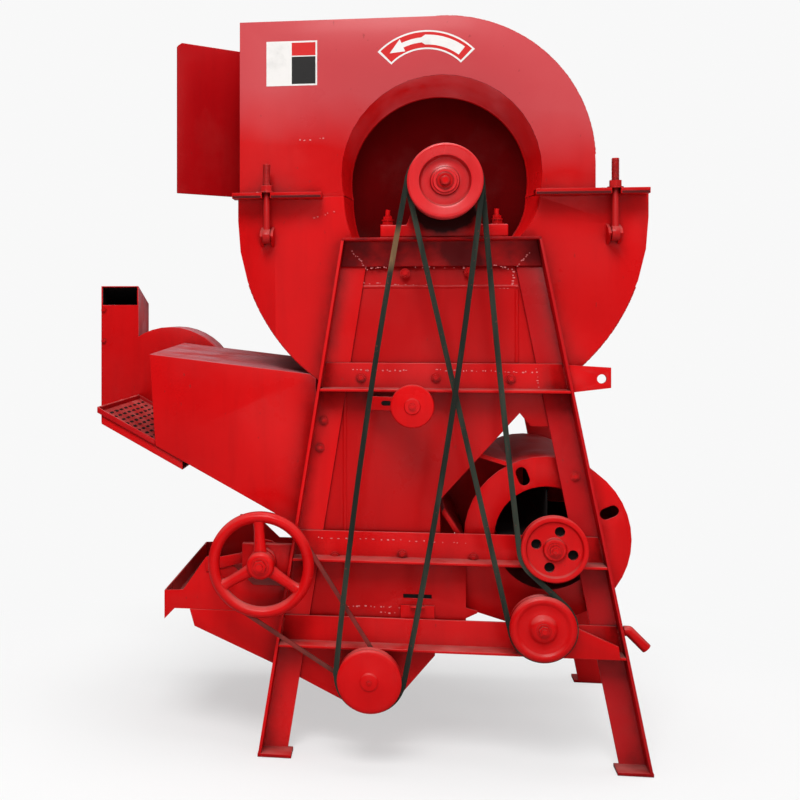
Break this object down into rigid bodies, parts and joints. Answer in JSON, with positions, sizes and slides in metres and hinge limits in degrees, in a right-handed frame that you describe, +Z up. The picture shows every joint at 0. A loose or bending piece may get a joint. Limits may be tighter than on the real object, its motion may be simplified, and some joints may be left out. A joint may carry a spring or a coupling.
{
  "type": "threshing machine",
  "caption": "Belt-driven threshing machine: splayed angle iron frame, round threshing housing with straw outlet, winnowing fan, shaking sieve, grain trough, chaff chute and tray.",
  "frame": {"origin": "on the floor under the middle of the overall bounding box", "axes": "+Z up, -Y towards the belt side seen in the picture, +X towards the fan, the threshing shaft along Y"},
  "size_m": [1.066, 0.734, 1.323],
  "materials": {
    "red_paint": "gloss red paint over sheet steel, dusty, with overspray and drips",
    "faded_red_paint": "gloss red paint with a pale sky sheen",
    "dark_red_paint": "dull red paint in the shade",
    "belt_rubber": "dusty grey green V-belt rubber with red overspray",
    "painted_steel": "red paint thinly sprayed over bolts and shafts"
  },
  "bodies": {
    "machine_frame": {"front_leg_left": "red_paint", "front_leg_right": "red_paint", "rear_leg_left": "red_paint", "rear_leg_right": "red_paint", "front_top_beam": "red_paint", "rear_top_beam": "red_paint", "front_upper_bar": "red_paint", "front_middle_bar": "red_paint", "front_lower_bar": "red_paint", "rear_middle_bar": "red_paint", "rear_lower_bar": "red_paint", "hitch_lug": "red_paint", "lower_shell": "red_paint", "upper_cover": "faded_red_paint", "straw_deflector": "red_paint", "intake_collar": "red_paint", "front_panel": "red_paint", "rear_panel": "red_paint", "chaff_chute": "red_paint", "perforated_tray": "red_paint", "tray_underpan": "red_paint", "grain_blower": "red_paint", "fan_housing": "red_paint", "fan_bearing": "red_paint", "grain_trough": "red_paint", "auger_bearing": "red_paint", "crank_bracket": "red_paint", "front_bearing": "red_paint", "rear_bearing": "red_paint", "tension_arm": "red_paint", "tension_handle": "red_paint", "idler_arm": "red_paint", "main_belt": "belt_rubber", "fan_belt": "belt_rubber", "crank_belt": "belt_rubber"},
    "drum": {"drum_shaft": "painted_steel", "drum_rotor": "dark_red_paint", "drum_pulley": "red_paint"},
    "fan": {"fan_rotor": "dark_red_paint", "fan_pulley": "red_paint"},
    "auger": {"grain_auger": "dark_red_paint", "auger_pulley": "red_paint"},
    "crank": {"crank_shaft": "painted_steel", "crank_wheel": "red_paint"},
    "tension_wheel": {"tension_pulley": "red_paint"},
    "idler_wheel": {"idler_pulley": "red_paint"},
    "sieve": {"sieve_tray": "red_paint", "sieve_pitman": "red_paint"},
    "gate": {"discharge_gate": "red_paint"},
    "bolt_left": {"swing_bolt_left": "painted_steel"},
    "nut_left": {"swing_nut_left": "painted_steel"},
    "bolt_right": {"swing_bolt_right": "painted_steel"},
    "nut_right": {"swing_nut_right": "painted_steel"}
  },
  "joints": [
    {"name": "drum_spin", "type": "hinge", "parent": "machine_frame", "child": "drum", "pos_m": [0.181, -0.24, 1.017], "axis": [0, 1, 0], "continuous": true},
    {"name": "fan_spin", "type": "hinge", "parent": "machine_frame", "child": "fan", "pos_m": [0.364, -0.24, 0.391], "axis": [0, 1, 0], "continuous": true},
    {"name": "auger_spin", "type": "hinge", "parent": "machine_frame", "child": "auger", "pos_m": [0.053, -0.24, 0.16], "axis": [0, 1, 0], "continuous": true},
    {"name": "crank_spin", "type": "hinge", "parent": "machine_frame", "child": "crank", "pos_m": [-0.137, -0.24, 0.348], "axis": [0, 1, 0], "continuous": true},
    {"name": "tension_wheel_spin", "type": "hinge", "parent": "machine_frame", "child": "tension_wheel", "pos_m": [0.345, -0.24, 0.256], "axis": [0, 1, 0], "continuous": true},
    {"name": "idler_wheel_spin", "type": "hinge", "parent": "machine_frame", "child": "idler_wheel", "pos_m": [0.126, -0.24, 0.632], "axis": [0, 1, 0], "continuous": true},
    {"name": "sieve_shake", "type": "slide", "parent": "machine_frame", "child": "sieve", "axis": [1, 0, 0], "range_m": [-0.01, 0.01]},
    {"name": "gate_lift", "type": "slide", "parent": "machine_frame", "child": "gate", "axis": [0, 0, 1], "range_m": [0, 0.03]},
    {"name": "bolt_left_swing", "type": "hinge", "parent": "machine_frame", "child": "bolt_left", "pos_m": [-0.132, -0.265, 0.93], "axis": [1, 0, 0], "range_deg": [0, 60]},
    {"name": "nut_left_back_off", "type": "slide", "parent": "bolt_left", "child": "nut_left", "axis": [0, 0, 1], "range_m": [0, 0.024]},
    {"name": "bolt_right_swing", "type": "hinge", "parent": "machine_frame", "child": "bolt_right", "pos_m": [0.473, -0.265, 0.93], "axis": [1, 0, 0], "range_deg": [0, 60]},
    {"name": "nut_right_back_off", "type": "slide", "parent": "bolt_right", "child": "nut_right", "axis": [0, 0, 1], "range_m": [0, 0.024]}
  ],
  "couplings": [
    {"joint": "auger_spin", "follows": "drum_spin", "ratio": 1.0862},
    {"joint": "crank_spin", "follows": "drum_spin", "ratio": 0.3456},
    {"joint": "fan_spin", "follows": "drum_spin", "ratio": -1.0862},
    {"joint": "tension_wheel_spin", "follows": "drum_spin", "ratio": 1.1667},
    {"joint": "nut_left_back_off", "follows": "bolt_left_swing", "m_per_rad": 0.022917},
    {"joint": "nut_right_back_off", "follows": "bolt_right_swing", "m_per_rad": 0.022917}
  ]
}
